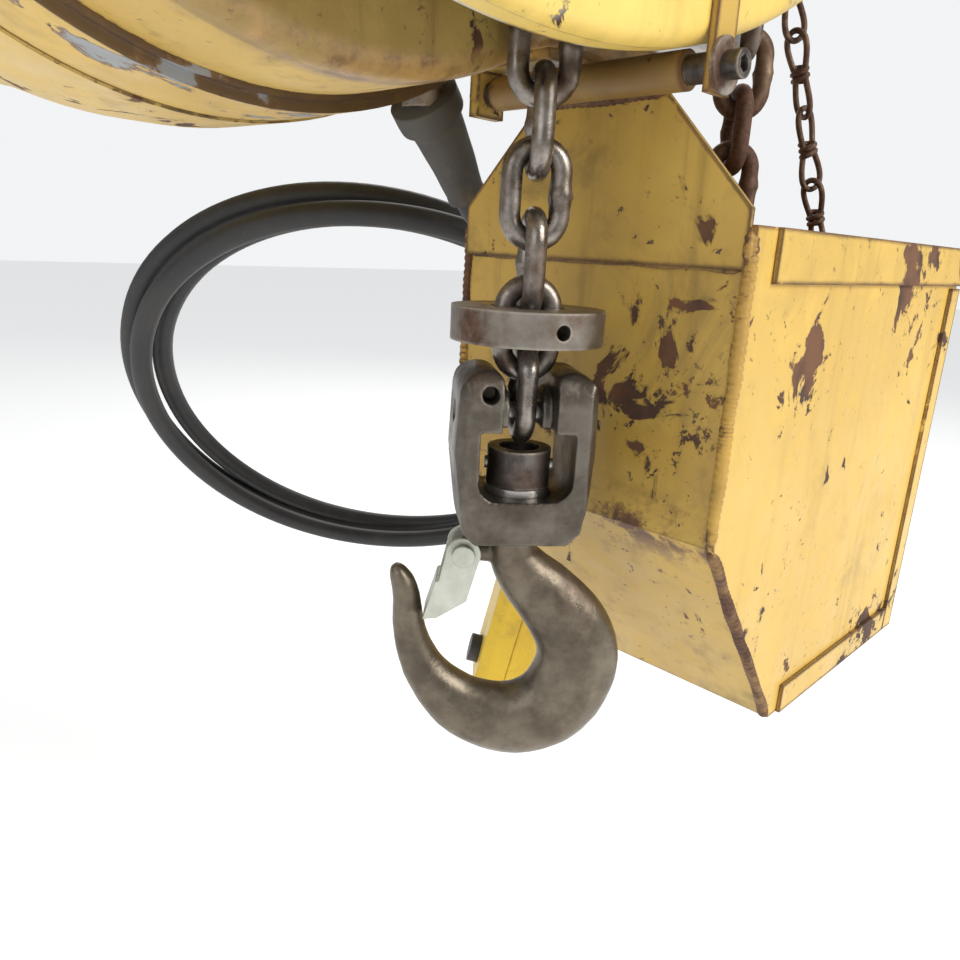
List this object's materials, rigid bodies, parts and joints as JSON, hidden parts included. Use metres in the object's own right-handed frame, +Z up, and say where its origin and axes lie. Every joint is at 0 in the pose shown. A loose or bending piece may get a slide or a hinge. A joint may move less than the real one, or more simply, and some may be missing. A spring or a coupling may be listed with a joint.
{
  "type": "electric chain hoist",
  "caption": "Electric chain hoist with round motor body, top hook, load chain with stop disc and swivel hook block, hinged sheet-steel chain container and a two-button pendant.",
  "frame": {"origin": "where the support bears in the top hook's bowl", "axes": "+X along the motor shaft towards the chain cover, +Y from the load strand to the chain container, +Z up"},
  "size_m": [0.4835, 0.5307, 0.8605],
  "materials": {
    "frame_paint": "dull ochre paint on rough casting, worn and oily",
    "bright_paint": "light industrial yellow paint, chipped to grey primer at edges",
    "container_paint": "yellow paint on sheet steel, many rust chips",
    "dark_fastener": "black oxide, worn bright on rims",
    "washer_zinc": "zinc plated, slightly green",
    "machined_steel": "turned steel, oiled",
    "chain_steel": "heat-treated chain steel, oily, worn bright where links bear",
    "rusty_steel": "dark steel with brown rust",
    "block_steel": "forged steel, rubbed dark",
    "spring_steel": "wire, oiled",
    "hook_steel": "forged steel, bronze-brown satin patina",
    "fan_plastic": "moulded",
    "cable_rubber": "matte, faintly ribbed, scuffed",
    "boot_rubber": "dusty moulded rubber",
    "gland": "dull",
    "pendant_plastic": "saturated yellow moulding, dirty",
    "button_rubber": "moulded"
  },
  "bodies": {
    "hoist": {"gear_frame": "frame_paint", "gear_plate": "machined_steel", "motor_housing": "bright_paint", "motor_end_bell": "bright_paint", "chain_housing": "frame_paint", "chain_cover": "bright_paint", "cover_screws": "dark_fastener", "suspension_yoke": "frame_paint", "frame_bolts": "dark_fastener", "hanger_strap": "bright_paint", "hanger_bracket": "frame_paint", "hinge_bolt": "dark_fastener", "hinge_washers": "washer_zinc", "hinge_spacers": "dark_fastener", "stator": "machined_steel", "shaft_bearings": "machined_steel", "chain_guide": "machined_steel", "wheel_chain": "chain_steel", "strain_boot": "boot_rubber", "gland_nut": "gland", "pendant_cable": "cable_rubber", "cable_coil": "cable_rubber", "pendant_front": "pendant_plastic", "pendant_rear": "pendant_plastic", "stay_chain": "rusty_steel"},
    "container": {"container_wrap": "container_paint", "hanger_plate": "container_paint", "container_side_right": "container_paint", "container_side_left": "container_paint", "container_flanges": "container_paint", "hinge_tube": "container_paint", "stay_bar": "rusty_steel", "stay_link": "rusty_steel", "chain_pile": "chain_steel"},
    "load_wheel": {"load_wheel": "machined_steel", "wheel_shaft": "machined_steel", "main_gear": "machined_steel"},
    "mid_gear": {"mid_gear": "machined_steel"},
    "motor": {"rotor": "machined_steel", "cooling_fan": "fan_plastic", "brake_disc": "machined_steel"},
    "lift": {"load_chain": "chain_steel", "stop_disc": "rusty_steel", "hook_block": "block_steel", "chain_pin": "machined_steel", "thrust_bearing": "machined_steel"},
    "slack_strand": {"slack_chain": "chain_steel"},
    "load_hook": {"load_hook": "hook_steel", "hook_nut": "block_steel", "nut_pin": "block_steel", "latch_rivet": "washer_zinc", "latch_spring": "spring_steel"},
    "load_latch": {"hook_latch": "washer_zinc"},
    "top_hook": {"top_hook": "hook_steel", "top_nut": "block_steel", "top_latch_rivet": "washer_zinc", "top_latch_spring": "spring_steel"},
    "top_latch": {"top_latch": "washer_zinc"},
    "up_button": {"up_button": "button_rubber"},
    "down_button": {"down_button": "button_rubber"}
  },
  "joints": [
    {"name": "motor_spin", "type": "hinge", "parent": "hoist", "child": "motor", "pos_m": [-0.2, -0.065, -0.2732], "axis": [1, 0, 0], "range_deg": [-1245, 2489]},
    {"name": "mid_gear_spin", "type": "hinge", "parent": "hoist", "child": "mid_gear", "pos_m": [-0.05, -0.01377, -0.27586], "axis": [1, 0, 0], "range_deg": [-535, 268]},
    {"name": "wheel_spin", "type": "hinge", "parent": "hoist", "child": "load_wheel", "pos_m": [0, 0.06875, -0.3172], "axis": [1, 0, 0], "range_deg": [-42, 82]},
    {"name": "hook_lift", "type": "slide", "parent": "hoist", "child": "lift", "axis": [0, 0, 1], "range_m": [-0.0965, 0.0485], "deforming": ["wheel_chain"]},
    {"name": "slack_run", "type": "slide", "parent": "hoist", "child": "slack_strand", "axis": [0, 0, 1], "range_m": [-0.0485, 0.0965]},
    {"name": "hook_swivel", "type": "hinge", "parent": "lift", "child": "load_hook", "pos_m": [0, 0, -0.5982], "axis": [0, 0, 1], "continuous": true},
    {"name": "latch_open", "type": "hinge", "parent": "load_hook", "child": "load_latch", "pos_m": [-0.01414, -0.01414, -0.6062], "axis": [0.7071, -0.7071, 0], "range_deg": [0, 40], "stiffness_Nm_per_rad": 0.03, "springref_deg": -34.38},
    {"name": "top_swivel", "type": "hinge", "parent": "hoist", "child": "top_hook", "pos_m": [0, 0, -0.0697], "axis": [0, 0, 1], "continuous": true},
    {"name": "top_latch_open", "type": "hinge", "parent": "top_hook", "child": "top_latch", "pos_m": [0, -0.02, -0.0617], "axis": [-1, 0, 0], "range_deg": [0, 40], "stiffness_Nm_per_rad": 0.03, "springref_deg": -34.38},
    {"name": "container_tilt", "type": "hinge", "parent": "hoist", "child": "container", "pos_m": [0, 0.038, -0.4249], "axis": [1, 0, 0], "range_deg": [0, 10], "deforming": ["stay_chain"]},
    {"name": "up_press", "type": "slide", "parent": "hoist", "child": "up_button", "axis": [0.7036, 0.6795, -0.2079], "range_m": [0, 0.005], "stiffness_N_per_m": 300, "springref_m": -0.002},
    {"name": "down_press", "type": "slide", "parent": "hoist", "child": "down_button", "axis": [0.7036, 0.6795, -0.2079], "range_m": [0, 0.005], "stiffness_N_per_m": 300, "springref_m": -0.002}
  ],
  "couplings": [
    {"joint": "mid_gear_spin", "follows": "motor_spin", "ratio": -0.21429},
    {"joint": "wheel_spin", "follows": "motor_spin", "ratio": 0.032143},
    {"joint": "hook_lift", "follows": "motor_spin", "m_per_rad": -0.00221},
    {"joint": "slack_run", "follows": "motor_spin", "m_per_rad": 0.00221}
  ]
}
